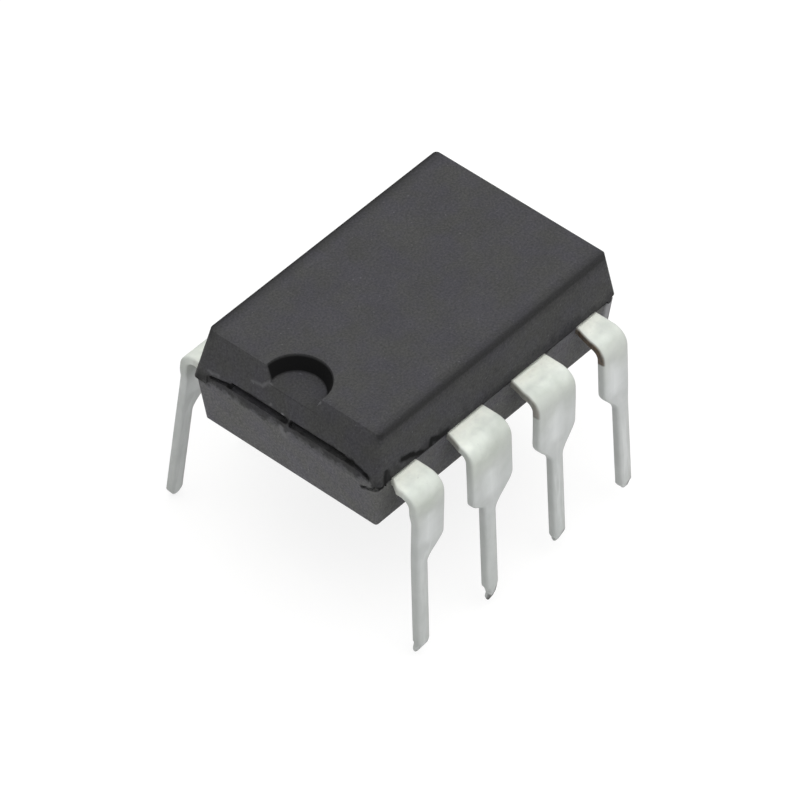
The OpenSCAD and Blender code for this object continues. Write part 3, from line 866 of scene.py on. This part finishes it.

# a bright patch under the bend, and a painted highlight down the middle of the shank
below_bend = tin.math("MULTIPLY", tin.span(wander, 1.3, 1.6), tin.span(wander, 2.3, 2.6, 1.0, 0.0))
bright_patch = tin.math("MULTIPLY", below_bend, tin.span(tin.math("ABSOLUTE", tin.math("ADD", offset, 0.1), 0.0), 0.0, 0.42, 1.0, 0.0))
tone = tin.blend(tin.math("MULTIPLY", bright_patch, 0.6), tone, (0.78, 0.80, 0.81))
streak_gap = tin.math("ABSOLUTE", tin.math("ADD", offset, tin.math("MULTIPLY", tin.math("SUBTRACT", streaks, 0.5), 0.5)), 0.0)
shank_highlight = tin.math("MULTIPLY", tin.span(streak_gap, 0.02, 0.1, 1.0, 0.0), tin.span(out, 2.0, 2.6))
patchy = tin.span(tin.noise(700, 2, 0.5, stretch=(1, 1, 0.5)), 0.42, 0.62)
tone = tin.blend(tin.math("MULTIPLY", tin.math("MULTIPLY", shank_highlight, patchy), 0.55), tone, (0.70, 0.715, 0.72))

# painted shade: the sheared side faces and the rolled edges are darker, turned from the light; bare copper shows where
# the strip was cut at the bend
from_edge = tin.math("SUBTRACT", half, tin.math("ABSOLUTE", offset, 0.0))
side_face = tin.span(from_edge, 0.0, 0.06, 1.0, 0.0)
tone = tin.blend(tin.math("MULTIPLY", side_face, 0.3), tone, (0.38, 0.40, 0.39))
tone = tin.blend(tin.math("MULTIPLY", tin.span(from_edge, 0.03, 0.12, 1.0, 0.0), 0.18), tone, (0.45, 0.46, 0.46))
where = tin.add("ShaderNodeSeparateXYZ")
tin.join(tin.place, where.inputs[0])
by_lead = tin.ramp(tin.span(where.outputs["X"], -5 * MM, 5 * MM), [(0.0, grey(0.1)), (0.2, grey(0.3)), (0.4, grey(0.75)),
                                                                   (0.55, grey(0.6)), (0.75, grey(1.0))])
bare_to = tin.span(where.outputs["X"], -2 * MM, 0, 0.45, 1.2)
cut_length = tin.span(tin.math("SUBTRACT", out, bare_to), 0.0, 0.06, 1.0, 0.0)
notch_side = tin.span(offset, 0.0, 0.05, 1.0, 0.0)
bare = tin.math("MULTIPLY", tin.math("MULTIPLY", side_face, cut_length), tin.math("MULTIPLY", notch_side, by_lead))
copper_skin = tin.ramp(tin.noise(9000, 2, 0.5), [(0.35, (0.05, 0.035, 0.022)), (0.65, (0.11, 0.07, 0.04))])
tone = tin.blend(bare, tone, copper_skin)

# the light falls off a little along the row
by_row = tin.ramp(tin.span(where.outputs["X"], -5 * MM, 5 * MM), [(0.1, (0.96, 0.965, 0.95)), (0.6, (0.98, 0.985, 0.97)), (0.9, (1.02, 1.02, 1.01))])
tone = tin.blend(1.0, tone, by_row, "MULTIPLY")

# painted shade on the sheared faces at the tips, which face down and away from the light
tip_face_shade = []
for n, aside, lift, strength in ((1, 0.3, 0.24, 0.45), (2, 0.25, 0.36, 0.9), (3, 0.26, 0.2, 0.5), (4, 0.2, 0.18, 0.55)):
    end_pair = lead_pairs(n)[0][-1]
    tip = (end_pair[0] + end_pair[1]) / 2 / MM - Vector((0, 0, frame_height / MM))
    tip_face_shade.append((tip + Vector((aside, -0.1, lift)), tip + Vector((0.03, -0.06, 0)), 0.07, 0.06, strength))
tone = tin.blend(tin.strokes(tip_face_shade), tone, (0.07, 0.07, 0.065))
tone = tin.blend(tin.span(streaks, 0.45, 0.75, 0.0, 0.2), tone, (0.50, 0.52, 0.51))
tone = tin.blend(tin.span(freckles, 0.68, 0.78, 0.0, 0.3), tone, (0.36, 0.37, 0.36))
tin.join(tone, tin.shader.inputs["Base Color"])
tin.shader.inputs["Metallic"].default_value = 0.2
tin.join(tin.span(patches, 0.3, 0.7, 0.58, 0.46), tin.shader.inputs["Roughness"])
tin.bump(tin.math("ADD", patches, tin.math("MULTIPLY", freckles, 0.4)), 0.012 * MM, 0.5)
for lead in leads:
    dress(lead, tin)

# %% [markdown]
# ## What lies inside
#
# The paddle, its adhesive, the die and the gold wires are sealed in the epoxy and never show, but a
# cutaway view of the part needs them. They keep their exact solids and get a finish each: rolled
# copper alloy, silver-filled adhesive, silicon with its grid of cells, and drawn gold.

# %% Finishes of the hidden pieces
copper = Finish("frame_alloy")
rolled = copper.noise(9000, 2, 0.5, stretch=(0.05, 1, 1))
alloy = copper.ramp(rolled, [(0.3, (0.40, 0.27, 0.18)), (0.7, (0.50, 0.35, 0.25))])
spot = copper.add("ShaderNodeSeparateXYZ")
copper.join(copper.place, spot.inputs[0])
cut_end = copper.span(copper.math("ABSOLUTE", spot.outputs[0], 0.0), 4.45 * MM, 4.5 * MM)
smear = copper.ramp(copper.noise(9000, 3, 0.6), [(0.35, grey(0.075)), (0.5, grey(0.1)), (0.7, grey(0.14))])
copper.join(copper.blend(cut_end, alloy, smear), copper.shader.inputs["Base Color"])
copper.join(copper.span(cut_end, 0, 1, 1.0, 0.0), copper.shader.inputs["Metallic"])
copper.join(copper.span(rolled, 0.3, 0.7, 0.35, 0.5), copper.shader.inputs["Roughness"])
copper.bump(rolled, 0.004 * MM, 0.5)
dress(nodes["die_paddle"], copper)

adhesive = Finish("silver_adhesive")
flakes = adhesive.noise(20000, 2, 0.6)
adhesive.join(adhesive.ramp(flakes, [(0.35, (0.52, 0.52, 0.50)), (0.65, (0.70, 0.70, 0.68))]), adhesive.shader.inputs["Base Color"])
adhesive.shader.inputs["Metallic"].default_value = 0.6
adhesive.shader.inputs["Roughness"].default_value = 0.6
adhesive.bump(flakes, 0.004 * MM, 0.8)
dress(nodes["die_attach"], adhesive)

silicon = Finish("silicon")
cells = silicon.add("ShaderNodeTexBrick", Scale=9000.0)
silicon.join(silicon.place, cells.inputs["Vector"])
for socket, colour in (("Color1", (0.13, 0.15, 0.22)), ("Color2", (0.19, 0.19, 0.25)), ("Mortar", (0.34, 0.33, 0.30))):
    cells.inputs[socket].default_value = (*colour, 1)
silicon.join(cells.outputs["Color"], silicon.shader.inputs["Base Color"])
silicon.shader.inputs["Metallic"].default_value = 0.5
silicon.join(silicon.span(cells.outputs["Fac"], 0, 1, 0.18, 0.4), silicon.shader.inputs["Roughness"])
dress(nodes["silicon_die"], silicon)

gold = Finish("bond_wire")
drawn = gold.noise(30000, 1, 0.5)
gold.join(gold.ramp(drawn, [(0.3, (0.80, 0.60, 0.23)), (0.7, (0.92, 0.72, 0.32))]), gold.shader.inputs["Base Color"])
gold.shader.inputs["Metallic"].default_value = 1.0
gold.join(gold.span(drawn, 0.3, 0.7, 0.2, 0.32), gold.shader.inputs["Roughness"])
for n in range(1, 9):
    dress(nodes["bond_wire_%d" % n], gold)
print("hidden pieces dressed")

# %% [markdown]
# ## Floor and light
#
# The part stands on plain white paper under a soft light from behind and above, so the top face and
# the shoulders of the leads catch the light, and the sides are lit by the paper. The paper shows
# white to the camera, and its shadow stays.

# %% Floor
deselect()
bpy.ops.mesh.primitive_plane_add(size=1.2, location=(0, 0, 0))
floor = bpy.context.object
floor.name = "floor"
paper = Finish("paper")
fibres = paper.noise(300, 2, 0.5)
paper.join(paper.ramp(fibres, [(0.3, (0.72, 0.72, 0.71)), (0.7, (0.76, 0.76, 0.75))]), paper.shader.inputs["Base Color"])
paper.shader.inputs["Roughness"].default_value = 0.9
paper.shader.inputs["Specular IOR Level"].default_value = 0.1
white = paper.add("ShaderNodeEmission", Strength=1.15)
seen_paper = paper.add("ShaderNodeMixShader", Fac=0.72)
ray = paper.add("ShaderNodeLightPath")
choice = paper.add("ShaderNodeMixShader")
output = paper.tree.nodes["Material Output"]
paper.join(paper.shader.outputs[0], seen_paper.inputs[1])
paper.join(white.outputs[0], seen_paper.inputs[2])
paper.join(paper.math("MAXIMUM", ray.outputs["Is Camera Ray"], ray.outputs["Is Glossy Ray"]), choice.inputs[0])
paper.join(paper.shader.outputs[0], choice.inputs[1])
paper.join(seen_paper.outputs[0], choice.inputs[2])
paper.join(choice.outputs[0], output.inputs["Surface"])
dress(floor, paper)

# %% Surroundings
world = bpy.data.worlds.new("studio")
bpy.context.scene.world = world
world.use_nodes = True
tree = world.node_tree
background = tree.nodes["Background"]
background.inputs["Color"].default_value = (1, 1, 1, 1)
direction = tree.nodes.new("ShaderNodeTexCoord")
toward_box = tree.nodes.new("ShaderNodeVectorMath")
toward_box.operation = "DOT_PRODUCT"
toward_box.inputs[1].default_value = Vector((-0.05, -0.2, 1)).normalized()
softbox = tree.nodes.new("ShaderNodeMapRange")
softbox.interpolation_type = "SMOOTHSTEP"
for name, number in (("From Min", 0.6), ("From Max", 0.95), ("To Min", 0.15), ("To Max", 2.9)):
    softbox.inputs[name].default_value = number
ray = tree.nodes.new("ShaderNodeLightPath")
plain = tree.nodes.new("ShaderNodeMath")
plain.operation = "MAXIMUM"
show = tree.nodes.new("ShaderNodeMix")
tree.links.new(direction.outputs["Generated"], toward_box.inputs[0])
tree.links.new(toward_box.outputs["Value"], softbox.inputs["Value"])
tree.links.new(ray.outputs["Is Camera Ray"], plain.inputs[0])
tree.links.new(ray.outputs["Is Glossy Ray"], plain.inputs[1])
tree.links.new(plain.outputs[0], show.inputs["Factor"])
tree.links.new(softbox.outputs["Result"], show.inputs["A"])
show.inputs["B"].default_value = 1.0
tree.links.new(show.outputs["Result"], background.inputs["Strength"])
print("studio ready")
